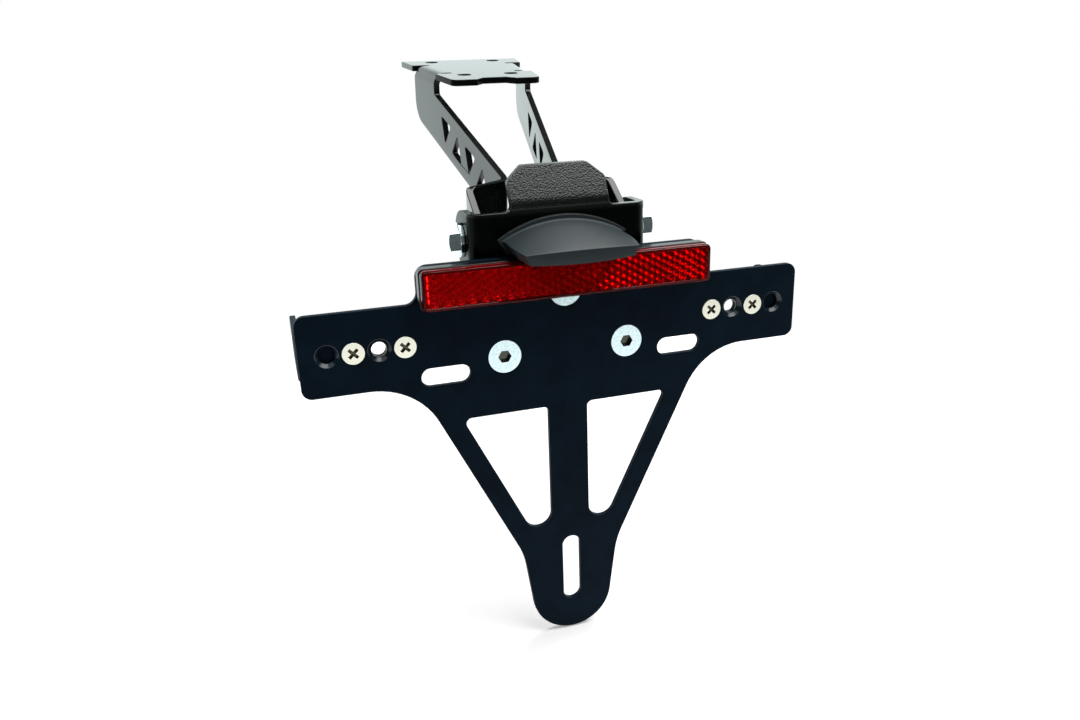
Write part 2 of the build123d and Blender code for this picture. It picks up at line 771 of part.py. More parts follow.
# Hinge hardware on each side, from the bolt's head inwards: bolt, washer, friction washer, lock nut
for side, hand in ((-1, "left"), (1, "right")):
    washer_seat = tilt_outer + pivot_gap
    head_seat = washer_seat + m6_washer
    friction_seat = tilt_inner - pivot_gap - friction_washer
    inner_seat = ear_half - bracket_sheet / 2
    nut_seat = inner_seat - m6_washer

    def pivot_plane(distance):
        """Plane across the hinge line on this side, facing outwards, with x up."""
        return Plane((side * distance, -pivot_reach, -pivot_drop), x_dir=(0, 0, 1), z_dir=(side, 0, 0))

    with BuildPart() as pivot_bolt:
        with BuildSketch(pivot_plane(head_seat)):
            RegularPolygon(hexagon_radius, 6, major_radius=False, rotation=side * m6_head_turn)
        extrude(amount=m6_head)
        with BuildSketch(pivot_plane(head_seat)):
            Circle(m6 / 2)
        extrude(amount=-(head_seat - nut_seat + m6_lock_nut + bolt_end))
    save(pivot_bolt, f"pivot_bolt_{hand}")

    with BuildPart() as pivot_washer:
        with BuildSketch(pivot_plane(washer_seat)):
            Circle(m6_washer_radius)
            Circle(m6_hole / 2, mode=Mode.SUBTRACT)
        extrude(amount=m6_washer)
    save(pivot_washer, f"pivot_washer_{hand}")

    with BuildPart() as pivot_friction_washer:
        with BuildSketch(pivot_plane(friction_seat)):
            Circle(friction_washer_radius)
            Circle(m6_hole / 2, mode=Mode.SUBTRACT)
        extrude(amount=friction_washer)
    save(pivot_friction_washer, f"friction_washer_{hand}")

    with BuildPart() as inner_washer:
        with BuildSketch(pivot_plane(nut_seat)):
            Circle(m6_washer_radius)
            Circle(m6_hole / 2, mode=Mode.SUBTRACT)
        extrude(amount=m6_washer)
    save(inner_washer, f"inner_washer_{hand}")

    with BuildPart() as pivot_nut:
        with BuildSketch(pivot_plane(nut_seat)):
            RegularPolygon(hexagon_radius, 6, major_radius=False)
            Circle(m6 / 2 + thread_gap, mode=Mode.SUBTRACT)
        extrude(amount=-m6_lock_nut)
    save(pivot_nut, f"pivot_nut_{hand}")
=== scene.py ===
import json
from math import radians

import bmesh
import bpy
import numpy as np
from mathutils import Matrix, Vector

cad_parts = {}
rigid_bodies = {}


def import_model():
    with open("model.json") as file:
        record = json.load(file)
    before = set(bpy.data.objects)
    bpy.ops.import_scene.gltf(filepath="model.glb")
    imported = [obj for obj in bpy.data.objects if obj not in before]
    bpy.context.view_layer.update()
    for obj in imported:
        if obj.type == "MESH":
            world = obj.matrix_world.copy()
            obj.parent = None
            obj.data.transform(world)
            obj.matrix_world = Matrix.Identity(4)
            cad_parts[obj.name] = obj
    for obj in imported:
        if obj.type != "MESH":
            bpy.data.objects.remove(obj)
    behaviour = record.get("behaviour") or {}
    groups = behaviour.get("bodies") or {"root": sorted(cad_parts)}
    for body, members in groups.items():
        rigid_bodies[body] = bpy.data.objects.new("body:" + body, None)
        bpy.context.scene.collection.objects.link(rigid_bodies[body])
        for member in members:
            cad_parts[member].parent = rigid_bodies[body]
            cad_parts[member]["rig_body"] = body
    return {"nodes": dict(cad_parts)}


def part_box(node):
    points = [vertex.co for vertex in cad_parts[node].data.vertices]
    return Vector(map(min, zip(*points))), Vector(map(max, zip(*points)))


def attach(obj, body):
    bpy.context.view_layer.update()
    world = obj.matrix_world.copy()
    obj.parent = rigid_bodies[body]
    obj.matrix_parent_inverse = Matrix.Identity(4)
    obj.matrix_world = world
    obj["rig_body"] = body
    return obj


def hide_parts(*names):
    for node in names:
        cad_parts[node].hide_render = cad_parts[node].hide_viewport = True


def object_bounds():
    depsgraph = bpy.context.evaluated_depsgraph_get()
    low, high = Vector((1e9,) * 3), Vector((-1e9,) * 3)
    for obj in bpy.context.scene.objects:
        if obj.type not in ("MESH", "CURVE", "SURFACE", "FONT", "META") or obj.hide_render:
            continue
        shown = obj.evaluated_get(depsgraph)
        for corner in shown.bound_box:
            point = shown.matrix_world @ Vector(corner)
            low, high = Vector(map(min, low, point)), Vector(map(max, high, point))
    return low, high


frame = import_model()
cad_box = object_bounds()

# Subframe bracket: one steel sheet, laser cut and folded into a top plate with two arms and two ears,
# then powder coated satin black. It bolts up under the bike's tail, and all the rest hangs on its ears.
MM = 0.001
WELD = 0.001 * MM  # corners nearer than this are one corner
FLAT = radians(0.5)  # faces that turn by less than this are one flat face
SHARP = radians(35)  # edges that turn by more than this are rounded
COAT_EDGE = 0.35 * MM  # radius that the coat leaves on a cut edge
COAT_DRIFT = 9 * MM  # width of the slow patches in a coat's colour
SATIN = {"dark": "#040505", "light": "#070808", "peel_mm": 1.6, "peel_height_mm": 0.003}
JOGGLE_MM = (-95, -84)  # where along the bike each arm steps out to its ear
PLATE_END_MM = -21  # the plate's cut end above the arms lies beyond this
PLATE_MIDDLE_MM = -1.25  # half way through the plate
CUT_HALF_MM = 1  # how far the flat of the cut reaches from there


def linear(code):
    """Linear RGBA of an sRGB hex colour: a straight part near black, then a power of 2.4."""
    srgb = np.array([int(code[i : i + 2], 16) for i in (1, 3, 5)]) / 255
    rgb = np.where(srgb <= 0.04045, srgb / 12.92, ((srgb + 0.055) / 1.055) ** 2.4)
    return (*rgb.tolist(), 1.0)


def put(tree, kind, inputs=None, **settings):
    """Add a node of one kind, set its settings, and fill its inputs: sockets are linked, values set."""
    node = tree.nodes.new("ShaderNode" + kind)
    for name, value in settings.items():
        setattr(node, name, value)
    for name, value in (inputs or {}).items():
        if isinstance(value, bpy.types.NodeSocket):
            tree.links.new(value, node.inputs[name])
        else:
            node.inputs[name].default_value = value
    return node


def bare_material(name):
    """An empty node material and its tree."""
    material = bpy.data.materials.new(name)
    material.use_nodes = True
    material.node_tree.nodes.clear()
    return material, material.node_tree


def powder_coat(name, dark, light, roughness, peel_mm, peel_height_mm, specular):
    """Baked powder: flow leaves an orange peel of low bumps, and the colour drifts a little over it."""
    material, tree = bare_material(name)
    place = put(tree, "TexCoord").outputs["Object"]
    drift = put(tree, "TexNoise", {"Vector": place, "Scale": 1 / COAT_DRIFT, "Detail": 3})
    peel = put(tree, "TexNoise", {"Vector": place, "Scale": 1 / (peel_mm * MM), "Detail": 2})
    colour = put(tree, "ValToRGB", {"Fac": drift.outputs["Fac"]})
    colour.color_ramp.elements[0].position = 0.3
    colour.color_ramp.elements[1].position = 0.7
    colour.color_ramp.elements[0].color = linear(dark)
    colour.color_ramp.elements[1].color = linear(light)
    rough = put(
        tree,
        "MapRange",
        {"Value": peel.outputs["Fac"], "To Min": roughness * 0.85, "To Max": roughness * 1.15},
    )
    bump = put(
        tree,
        "Bump",
        {"Height": peel.outputs["Fac"], "Strength": 0.6, "Distance": peel_height_mm * MM},
    )
    surface = put(
        tree,
        "BsdfPrincipled",
        {
            "Base Color": colour.outputs["Color"],
            "Roughness": rough.outputs["Result"],
            "Normal": bump.outputs["Normal"],
            "Specular IOR Level": specular,
        },
    )
    put(tree, "OutputMaterial", {"Surface": surface.outputs["BSDF"]})
    return material


def eased(node, finish, edge, segments=2, places=None, other=None):
    """A copy of a CAD node: doubles merged, flat faces joined, and each sharp edge rounded by its radius.
    Where places holds for a face's centre, the face has the other finish."""
    mesh = frame["nodes"][node].data.copy()
    if "custom_normal" in mesh.attributes:
        mesh.attributes.remove(mesh.attributes["custom_normal"])
    work = bmesh.new()
    work.from_mesh(mesh)
    bmesh.ops.remove_doubles(work, verts=work.verts, dist=WELD)
    bmesh.ops.dissolve_limit(work, angle_limit=FLAT, verts=work.verts, edges=work.edges)
    work.to_mesh(mesh)
    work.free()
    mesh.polygons.foreach_set("use_smooth", np.ones(len(mesh.polygons), bool))
    mesh.materials.clear()
    mesh.materials.append(finish)
    if places:
        centre = np.empty(len(mesh.polygons) * 3)
        mesh.polygons.foreach_get("center", centre)
        mesh.materials.append(other)
        mesh.polygons.foreach_set("material_index", places(centre.reshape(-1, 3)).astype(np.int32))
    piece = bpy.data.objects.new(node + "_finished", mesh)
    bpy.context.scene.collection.objects.link(piece)
    bevel = piece.modifiers.new("edge", "BEVEL")
    bevel.width = edge
    bevel.segments = segments
    bevel.limit_method = "ANGLE"
    bevel.angle_limit = SHARP
    bevel.harden_normals = True
    bevel.use_clamp_overlap = False
    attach(piece, frame["nodes"][node]["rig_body"])
    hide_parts(node)
    return piece


def thin_places(centre):
    """Faces in the joggle that sets each ear out from its arm, and on the plate's cut end above the arms."""
    _, y, z = centre.T / MM
    joggle = (y > JOGGLE_MM[0]) & (y < JOGGLE_MM[1])
    plate_end = (y < PLATE_END_MM) & (abs(z - PLATE_MIDDLE_MM) < CUT_HALF_MM)
    return joggle | plate_end


# The satin coat is almost black with clear soft reflections, which the orange peel ripples a little. Where
# the powder lies thin, it hardly shines.
satin_black = powder_coat("satin black powder coat", **SATIN, roughness=0.15, specular=0.45)
thin_black = powder_coat("satin black powder coat, thin", **SATIN, roughness=0.2, specular=0.03)
eased(
    "subframe_bracket",
    satin_black,
    COAT_EDGE,
    places=thin_places,
    other=thin_black,
)

# Hinge joints: on each side an M6 hex bolt passes through both ears into a lock nut, with steel washers
# outside and inside and a nylon washer between the ears. All the steel is bright zinc plated.
HINGE = np.array([0, -104.2, -43.5]) * MM
HEX_FLATS = 10 * MM
HEAD_HEIGHT = 4 * MM
HEAD_TURN = radians(-10)  # how the heads came to rest when the bolts were tightened
CROWN = 0.475  # radius of the face inside the chamfer, in flats
CROWN_INNER = 0.9  # a second ring on that face, in crowns, keeps its shading flat
CHAMFER = radians(30)
THREAD_RADIUS = 3 * MM
THREAD_PITCH = 1 * MM
THREAD_DEPTH = 0.45 * MM
THREAD_ROWS = 8  # rows of the mesh in one pitch
LEAD_IN = 1.2  # depth of the cone at the tip, in depths of the thread
NUT_HEIGHT = 6 * MM
NUT_COLLAR = 1.6 * MM
NUT_CLEARANCE = 0.05 * MM
COLLAR_RADIUS = 4.3 * MM
COLLAR_STEP = 0.1 * MM
COLLAR_ROLL = 0.5 * MM
WASHER_EDGE = 0.25 * MM
NYLON_EDGE = 0.15 * MM
RECESS_DEPTH = 2.4 * MM  # how deep a driver's recess goes
# Painted shade in a driver's recess: the colour is multiplied by the first colour inside the recess, and by
# the second elsewhere.
RECESS_SHADE = "#5a564c"
UNSHADED = "#ffffff"
TURN = np.linspace(0, 2 * np.pi, 72, endpoint=False)  # angles round an axis, 5 degrees apart
TURNED_SHARP = radians(32)  # edges of a turned piece that turn by more than this stay sharp


def plated_steel(name, colour, dull, roughness, grain_mm, face=None):
    """Electroplated steel: bright metal whose crystal grain clouds the shine in small patches. The real
    grain is too fine to show and is drawn as coarse as grain_mm. Below the plane of a given face, as deep as
    a driver's recess goes, the colour is darkened with painted shade."""
    material, tree = bare_material(name)
    place = put(tree, "TexCoord").outputs["Object"]
    cloud = put(tree, "TexNoise", {"Vector": place, "Scale": 1 / (grain_mm * MM), "Detail": 4})
    tint = put(tree, "ValToRGB", {"Fac": cloud.outputs["Fac"]})
    tint.color_ramp.elements[0].position = 0.35
    tint.color_ramp.elements[1].position = 0.65
    tint.color_ramp.elements[0].color = linear(dull)
    tint.color_ramp.elements[1].color = linear(colour)
    rough = put(
        tree,
        "MapRange",
        {"Value": cloud.outputs["Fac"], "To Min": roughness * 0.7, "To Max": roughness * 1.3},
    )
    bump = put(tree, "Bump", {"Height": cloud.outputs["Fac"], "Strength": 0.3, "Distance": 0.006 * MM})
    shown = tint.outputs["Color"]
    # Painted shade: below the given face, inside the recess, the colour is multiplied darker.
    if face is not None:
        point, normal = face
        offset = put(tree, "VectorMath", {0: place, 1: point}, operation="SUBTRACT").outputs["Vector"]
        depth = put(tree, "VectorMath", {0: offset, 1: normal}, operation="DOT_PRODUCT").outputs["Value"]
        depth = put(tree, "MapRange", {"Value": depth, "From Min": -RECESS_DEPTH, "From Max": 0.0})
        recess_shade = put(tree, "ValToRGB", {"Fac": depth.outputs["Result"]})
        recess_shade.color_ramp.elements[0].color = linear(UNSHADED)
        recess_shade.color_ramp.elements[1].color = linear(UNSHADED)
        for stop, shade in ((0.05, RECESS_SHADE), (0.88, RECESS_SHADE), (0.97, UNSHADED)):
            recess_shade.color_ramp.elements.new(stop).color = linear(shade)
        shown = put(
            tree,
            "Mix",
            {0: 1.0, 6: shown, 7: recess_shade.outputs["Color"]},
            data_type="RGBA",
            blend_type="MULTIPLY",
        ).outputs[2]
    surface = put(
        tree,
        "BsdfPrincipled",
        {
            "Base Color": shown,
            "Metallic": 1.0,
            "Roughness": rough.outputs["Result"],
            "Normal": bump.outputs["Normal"],
        },
    )
    put(tree, "OutputMaterial", {"Surface": surface.outputs["BSDF"]})
    return material


def moulded(name, dark, light, roughness, grain_mm, grain_height_mm, specular=0.5):
    """Moulded plastic or rubber: an even colour with the fine spark texture of its mould. The real texture
    is finer, and grain_mm is as coarse as it needs to show."""
    material, tree = bare_material(name)
    place = put(tree, "TexCoord").outputs["Object"]
    grain = put(tree, "TexNoise", {"Vector": place, "Scale": 1 / (grain_mm * MM), "Detail": 2})
    shade = put(tree, "ValToRGB", {"Fac": grain.outputs["Fac"]})
    shade.color_ramp.elements[0].color = linear(dark)
    shade.color_ramp.elements[1].color = linear(light)
    bump = put(
        tree,
        "Bump",
        {"Height": grain.outputs["Fac"], "Strength": 0.7, "Distance": grain_height_mm * MM},
    )
    surface = put(
        tree,
        "BsdfPrincipled",
        {
            "Base Color": shade.outputs["Color"],
            "Roughness": roughness,
            "Normal": bump.outputs["Normal"],
            "Specular IOR Level": specular,
        },
    )
    put(tree, "OutputMaterial", {"Surface": surface.outputs["BSDF"]})
    return material


def ring_grid(radius, height):
    """Rows of a turned surface: at each row the radius runs round the axis, at one height or several."""
    radius = np.broadcast_to(radius, (len(height), len(TURN)))
    height = np.broadcast_to(np.reshape(height, (len(height), -1)), radius.shape)
    return np.stack([radius * np.cos(TURN), radius * np.sin(TURN), height], -1)


def turned(name, grids, finish, origin, axis, up=(0, 0, 1)):
    """One mesh of ring grids on an axis: quads join each row to the next, and poles and seams merge."""
    axis, up = np.array(axis, float), np.array(up, float)
    basis = np.stack([up, np.cross(axis, up), axis])
    points, faces, start = [], [], 0
    for grid in grids:
        here = start + np.arange(grid.shape[0] * grid.shape[1]).reshape(grid.shape[:2])
        beside = np.roll(here, -1, axis=1)
        faces.append(np.stack([here[:-1], beside[:-1], beside[1:], here[1:]], -1).reshape(-1, 4))
        points.append(grid.reshape(-1, 3) @ basis + origin)
        start += grid.shape[0] * grid.shape[1]
    mesh = bpy.data.meshes.new(name)
    mesh.from_pydata(np.concatenate(points).tolist(), [], np.concatenate(faces).tolist())
    work = bmesh.new()
    work.from_mesh(mesh)
    bmesh.ops.remove_doubles(work, verts=work.verts, dist=WELD / 2)
    bmesh.ops.recalc_face_normals(work, faces=work.faces)
    work.to_mesh(mesh)
    work.free()
    mesh.polygons.foreach_set("use_smooth", np.ones(len(mesh.polygons), bool))
    mesh.set_sharp_from_angle(angle=TURNED_SHARP)
    mesh.materials.append(finish)
    piece = bpy.data.objects.new(name, mesh)
    bpy.context.scene.collection.objects.link(piece)
    return piece


def hexagon(flats):
    """Radius of a hexagon round the circle: half the flats over the cosine of the angle to the flat."""
    return flats / 2 / np.cos(TURN % (np.pi / 3) - np.pi / 6)


def hex_head(flats, height):
    """A forged hexagon: straight flats, with a 30 degree chamfer turned on its top face."""
    corner = hexagon(flats)
    seat = 0 * corner
    top = seat + height
    crown = seat + flats * CROWN
    shoulder = height - np.maximum(corner - crown, 0) * np.tan(CHAMFER)
    radius = np.stack([seat, corner, corner, crown, crown * CROWN_INNER, seat])
    return ring_grid(radius, np.stack([seat, seat, shoulder, top, top, top]))


def thread(radius, pitch, depth, start, end):
    """A screw thread: the radius is a triangle wave of the height less the turn's share of a pitch."""
    level = np.linspace(start, end, int(abs(end - start) / pitch * THREAD_ROWS))[:, None]
    phase = (level / pitch - TURN / (2 * np.pi)) % 1
    body = radius - depth * np.abs(2 * phase - 1)
    body = np.minimum(body, radius - depth * LEAD_IN + np.abs(level - end))
    radius = np.concatenate([0 * body[:1], body, 0 * body[:1]])
    return ring_grid(radius, np.concatenate([level[:1], level, level[-1:]])[:, 0])


def lock_nut(flats, height, collar, bore):
    """A lock nut: chamfered hexagon, then a rolled collar that holds a nylon ring."""
    corner = hexagon(flats)
    crown = flats * CROWN
    slope = np.maximum(corner - crown, 0) * np.tan(CHAMFER)
    one = np.ones_like(corner)
    body = height - collar
    rows = [
        (one * bore, 0 * one),
        (one * crown, 0 * one),
        (corner, slope),
        (corner, body - slope),
        (one * crown, body * one),
        (one * COLLAR_RADIUS, (body + COLLAR_STEP) * one),
        (one * COLLAR_RADIUS, (height - COLLAR_ROLL) * one),
        (one * (COLLAR_RADIUS - COLLAR_ROLL), height * one),
        (one * bore, height * one),
        (one * bore, 0 * one),
    ]
    return ring_grid(*np.stack(rows, 1))


# Bright zinc is a cold white metal with clear, faintly clouded reflections. Nylon stays dull between it.
zinc = plated_steel("bright zinc plate", "#eef8fa", "#dce9ec", roughness=0.13, grain_mm=0.9)
black_nylon = moulded(
    "black nylon", "#0b0b0c", "#141415", roughness=0.45, grain_mm=0.5, grain_height_mm=0.01
)
for side, hand in ((-1, "left"), (1, "right")):
    outer, inner = (side + 1) // 2, (1 - side) // 2  # the corner of a box that faces out, and in
    head_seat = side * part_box(f"pivot_washer_{hand}")[outer].x
    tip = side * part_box(f"pivot_bolt_{hand}")[inner].x
    outwards = (side, 0, 0)
    bolt = turned(
        f"hinge_bolt_{hand}",
        [
            hex_head(HEX_FLATS, HEAD_HEIGHT),
            thread(THREAD_RADIUS, THREAD_PITCH, THREAD_DEPTH, 0, tip - head_seat),
        ],
        zinc,
        HINGE + np.array(outwards) * head_seat,
        outwards,
        (0, -np.sin(HEAD_TURN), np.cos(HEAD_TURN)),
    )
    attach(bolt, "subframe")
    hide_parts(f"pivot_bolt_{hand}")
    nut_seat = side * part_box(f"pivot_nut_{hand}")[outer].x
    nut = turned(
        f"hinge_nut_{hand}",
        [lock_nut(HEX_FLATS, NUT_HEIGHT, NUT_COLLAR, THREAD_RADIUS + NUT_CLEARANCE)],
        zinc,
        HINGE + np.array(outwards) * nut_seat,
        (-side, 0, 0),
    )
    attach(nut, "subframe")
    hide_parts(f"pivot_nut_{hand}")
    eased(f"pivot_washer_{hand}", zinc, WASHER_EDGE)
    eased(f"inner_washer_{hand}", zinc, WASHER_EDGE)
    eased(f"friction_washer_{hand}", black_nylon, NYLON_EDGE)

# Tilt bracket: a second folded steel sheet between the ears, powder coated gloss black. Its tongue leans
# back above the lamp, and a fine leather grain is pressed into it.
GRAIN_MM = 0.55  # width of a cell, as coarse as it needs to show
GRAIN_HEIGHT_MM = 0.15
WARP_MM = 2.4  # width of the waves that make the cells uneven
WARP_SHIFT_MM = 1.1
PIT_MM = 0.45  # width of the pits in the cells
GLOSS_PEEL_MM = 2
GLOSS_PEEL_HEIGHT_MM = 0.01
GRAIN_FROM = -31.5 * MM  # height where the grain fades in above the tongue's bend
GRAIN_FULL = -28.0 * MM
GLOSS_FROM = -33.5 * MM  # height where the gloss fades in below that bend
GLOSS_FULL = -31.5 * MM


def grained_gloss(name):
    """Gloss coat with a leather grain above the bend: rounded cells of uneven size, parted by creases. The
    grain breaks the gloss into a soft grey sheen, which a lighter grey base colour there paints in as
    painted sheen, and the wall below the bend stays black."""
    material, tree = bare_material(name)
    place = put(tree, "TexCoord").outputs["Object"]
    height = put(tree, "SeparateXYZ", {"Vector": place}).outputs["Z"]
    warp = put(tree, "TexNoise", {"Vector": place, "Scale": 1 / (WARP_MM * MM), "Detail": 2})
    shift = put(
        tree, "VectorMath", {0: warp.outputs["Color"], 1: (WARP_SHIFT_MM * MM,) * 3}, operation="MULTIPLY"
    )
    bent = put(tree, "VectorMath", {0: place, 1: shift.outputs["Vector"]}, operation="ADD")
    cells = put(
        tree,
        "TexVoronoi",
        {"Vector": bent.outputs["Vector"], "Scale": 1 / (GRAIN_MM * MM), "Smoothness": 0.6},
        feature="SMOOTH_F1",
    )
    pits = put(tree, "TexNoise", {"Vector": place, "Scale": 1 / (PIT_MM * MM), "Detail": 2})
    relief = put(
        tree, "Math", {0: cells.outputs["Distance"], 1: pits.outputs["Fac"]}, operation="ADD"
    )
    fade = put(tree, "MapRange", {"Value": height, "From Min": GRAIN_FROM, "From Max": GRAIN_FULL})
    depth = put(tree, "Math", {0: relief.outputs[0], 1: fade.outputs["Result"]}, operation="MULTIPLY")
    peel = put(tree, "TexNoise", {"Vector": place, "Scale": 1 / (GLOSS_PEEL_MM * MM), "Detail": 1})
    smooth = put(
        tree,
        "Bump",
        {"Height": peel.outputs["Fac"], "Strength": 0.5, "Distance": GLOSS_PEEL_HEIGHT_MM * MM},
    )
    grain = put(
        tree,
        "Bump",
        {
            "Height": depth.outputs[0],
            "Strength": 1.0,
            "Distance": GRAIN_HEIGHT_MM * MM,
            "Normal": smooth.outputs["Normal"],
        },
    )
    rough = put(tree, "MapRange", {"Value": fade.outputs["Result"], "To Min": 0.2, "To Max": 0.28})
    shine = put(
        tree,
        "MapRange",
        {"Value": height, "From Min": GLOSS_FROM, "From Max": GLOSS_FULL, "To Min": 0.05, "To Max": 0.45},
    )
    # Painted sheen: the base colour is near black on the wall and a lighter grey where the grain is.
    sheen_tone = put(tree, "ValToRGB", {"Fac": fade.outputs["Result"]})
    sheen_tone.color_ramp.elements[0].color = linear("#020303")
    sheen_tone.color_ramp.elements[1].color = linear("#18191a")
    surface = put(
        tree,
        "BsdfPrincipled",
        {
            "Base Color": sheen_tone.outputs["Color"],
            "Roughness": rough.outputs["Result"],
            "Normal": grain.outputs["Normal"],
            "Specular IOR Level": shine.outputs["Result"],
        },
    )
    put(tree, "OutputMaterial", {"Surface": surface.outputs["BSDF"]})
    return material


eased("tilt_bracket", grained_gloss("gloss black powder coat"), COAT_EDGE)

# Number plate lamp: a moulded hood on a rubber gasket, screwed on from behind the wall, with a clear lens
# underneath over a small board of diodes. A rubber grommet marks where its lead would pass.
HOOD_EDGE = 0.15 * MM
GASKET_EDGE = 0.2 * MM
GROMMET_EDGE = 0.3 * MM
SCREW_EDGE = 0.12 * MM
FLOW_MARK = 7 * MM  # width of the marks that the melt leaves in a clear moulding

# The hood's ABS is a cool dark grey with an even, soft sheen. Rubber is duller and darker.
dark_grey = moulded(
    "dark grey ABS, fine spark texture",
    "#262d30",
    "#2f373a",
    roughness=0.42,
    grain_mm=0.22,
    grain_height_mm=0.02,
    specular=0.25,
)
black_rubber = moulded(
    "black rubber", "#0c0c0d", "#131314", roughness=0.6, grain_mm=0.3, grain_height_mm=0.01, specular=0.4
)
eased("lamp_housing", dark_grey, HOOD_EDGE, segments=3)
eased("lamp_gasket", black_rubber, GASKET_EDGE)
eased("lamp_grommet", black_rubber, GROMMET_EDGE)
eased("lamp_screws", zinc, SCREW_EDGE)


def clear_moulding(name, deep, pale, ior, roughness, clarity=1.0, shine="#ffffff"):
    """Clear moulded plastic: light passes through, tinted by its colour, which drifts along the flow marks
    that the melt left in the mould."""
    material, tree = bare_material(name)
    place = put(tree, "TexCoord").outputs["Object"]
    flow = put(tree, "TexNoise", {"Vector": place, "Scale": 1 / FLOW_MARK, "Detail": 1})
    tint = put(tree, "ValToRGB", {"Fac": flow.outputs["Fac"]})
    tint.color_ramp.elements[0].color = linear(deep)
    tint.color_ramp.elements[1].color = linear(pale)
    haze = put(
        tree,
        "MapRange",
        {"Value": flow.outputs["Fac"], "To Min": roughness * 0.5, "To Max": roughness * 1.5},
    )
    surface = put(
        tree,
        "BsdfPrincipled",
        {
            "Base Color": tint.outputs["Color"],
            "Roughness": haze.outputs["Result"],
            "IOR": ior,
            "Specular Tint": linear(shine),
            "Transmission Weight": clarity,
        },
    )
    put(tree, "OutputMaterial", {"Surface": surface.outputs["BSDF"]})
    return material


def dress(node, finish):
    """Give a CAD node that stays its finish."""
    frame["nodes"][node].data.materials.clear()
    frame["nodes"][node].data.materials.append(finish)


# The lens is clear as water, and through it the white board and its yellow diodes show.
polycarbonate = clear_moulding("clear polycarbonate", "#eef1f1", "#f8fafa", ior=1.58, roughness=0.05)
solder_mask = moulded(
    "white solder mask", "#d9d9d4", "#e4e4e0", roughness=0.4, grain_mm=0.6, grain_height_mm=0.005
)
phosphor = moulded(
    "yellow phosphor", "#d8b93a", "#e6cb54", roughness=0.35, grain_mm=0.4, grain_height_mm=0.005
)
dress("lamp_lens", polycarbonate)
dress("lamp_board", solder_mask)
dress("lamp_diodes", phosphor)

# Plate carrier: a flat cut sheet, coated with a fine matt black powder. Three countersunk M6 socket
# screws hold it to the tilt bracket's wall, with plain nuts behind.
TILT = radians(7.05)
ACROSS = np.array([1.0, 0, 0])
UPWARD = np.array([0, np.sin(TILT), np.cos(TILT)])
OUTWARD = np.array([0, -np.cos(TILT), np.sin(TILT)])
SHEET = 2.5 * MM
WALL_FRONT = 12.9 * MM  # from the hinge's axis out to the wall's front, where the sheet lies
ROW_DROP_MM = 31.0  # from the hinge's axis down to the row of small screws
CARRIER_FRONT = HINGE + OUTWARD * (WALL_FRONT + SHEET)
CARRIER_FACE = (CARRIER_FRONT.tolist(), OUTWARD.tolist())
SCREW_ROW = CARRIER_FRONT - OUTWARD * SHEET / 2 - UPWARD * ROW_DROP_MM * MM
HOLE_REACH_MM = (1.15, 5, 88)  # how far the holes' walls reach from the row's middle: out, up and across
GRIT_MM = 0.35  # width of the coat's grit, which is really finer and is drawn as coarse as it needs to show
MATT = {"dark": "#05121d", "light": "#091b29", "peel_mm": GRIT_MM, "peel_height_mm": 0.012}
M6_NUT_EDGE = 0.3 * MM


def countersinks(centre):
    """Faces inside the row of holes: between the sheet's two sides, near the row, short of its ends."""
    away = abs(np.stack([OUTWARD, UPWARD, ACROSS]) @ (centre - SCREW_ROW).T / MM)
    return np.all(away < np.reshape(HOLE_REACH_MM, (3, 1)), axis=0)


# The matt coat is a flat blue-black with hardly a reflection. In the countersinks the powder flowed out and
# shines. The screws' zinc is bright on its faces, and in the sockets it is darkened with painted shade.
matt_black = powder_coat("matt black powder coat", **MATT, roughness=0.5, specular=0.05)
flowed_black = powder_coat("matt black powder coat, flowed out", **MATT, roughness=0.22, specular=0.45)
eased(
    "plate_carrier",
    matt_black,
    COAT_EDGE,
    places=countersinks,
    other=flowed_black,
)
# Painted shade in the sockets: below the carrier's face, the zinc's colour is darkened.
sunk_zinc = plated_steel(
    "bright zinc plate, painted socket shade",
    "#eef8fa",
    "#d4e2e6",
    roughness=0.22,
    grain_mm=0.9,
    face=CARRIER_FACE,
)
eased("carrier_screws", sunk_zinc, SCREW_EDGE)
eased("carrier_nuts", zinc, M6_NUT_EDGE)

# Indicator brackets: small bent sheets behind the carrier's ends, coated like it, each held by two M4
# countersunk screws with cross recesses, satin nickel plated, and two nuts.
M4_HEAD_EDGE = 0.1 * MM
M4_NUT_EDGE = 0.2 * MM

# Satin nickel is warmer than zinc and blurs what it reflects.
# Painted shade in the cross recesses: below the carrier's face, the nickel's colour is darkened.
nickel = plated_steel(
    "satin nickel plate", "#fff5e6", "#f6ebda", roughness=0.24, grain_mm=0.5, face=CARRIER_FACE
)
for hand in ("left", "right"):
    eased(f"indicator_bracket_{hand}", matt_black, COAT_EDGE)
    eased(f"indicator_screws_{hand}", nickel, M4_HEAD_EDGE)
    eased(f"indicator_nuts_{hand}", zinc, M4_NUT_EDGE)

# Reflector: a foam tape holds a black moulded back on the carrier's tab. The red acrylic front is smooth
# outside, and its inner side is a field of corner prisms that throw light back, inside a plain rim.
PRISM_SIDE = 1.42 * MM
PRISM_COLUMNS, PRISM_ROWS = 40, 14  # each way from the middle, more than the window needs
LENS_HALF_LENGTH = 50.9 * MM
LENS_HALF_HEIGHT = 6.6 * MM
LENS_DEPTH = 3.5 * MM
RIM_WIDTH = 1.2 * MM
RIM_GAP = 0.06 * MM
RIM_CORNER = 1.6 * MM
RIM_CORNER_LEAST = 0.05 * MM
CORNER_STEPS = 7
RIM_ROUND_MM = ((0, 0.6), (0.25, 0.15), (0.7, 0))  # inset and drop along the rounded outer edge
RIM_BEVEL = 0.25 * MM
WINDOW_DROP = 0.35 * MM
PAD_MM, BACK_MM = 0.8, 4.2  # thickness of the foam tape and of the moulded back
LENS_RISE_MM = 19.6  # from the row of small screws up to the lens's middle
LENS_LIFT_MM = LENS_RISE_MM - ROW_DROP_MM
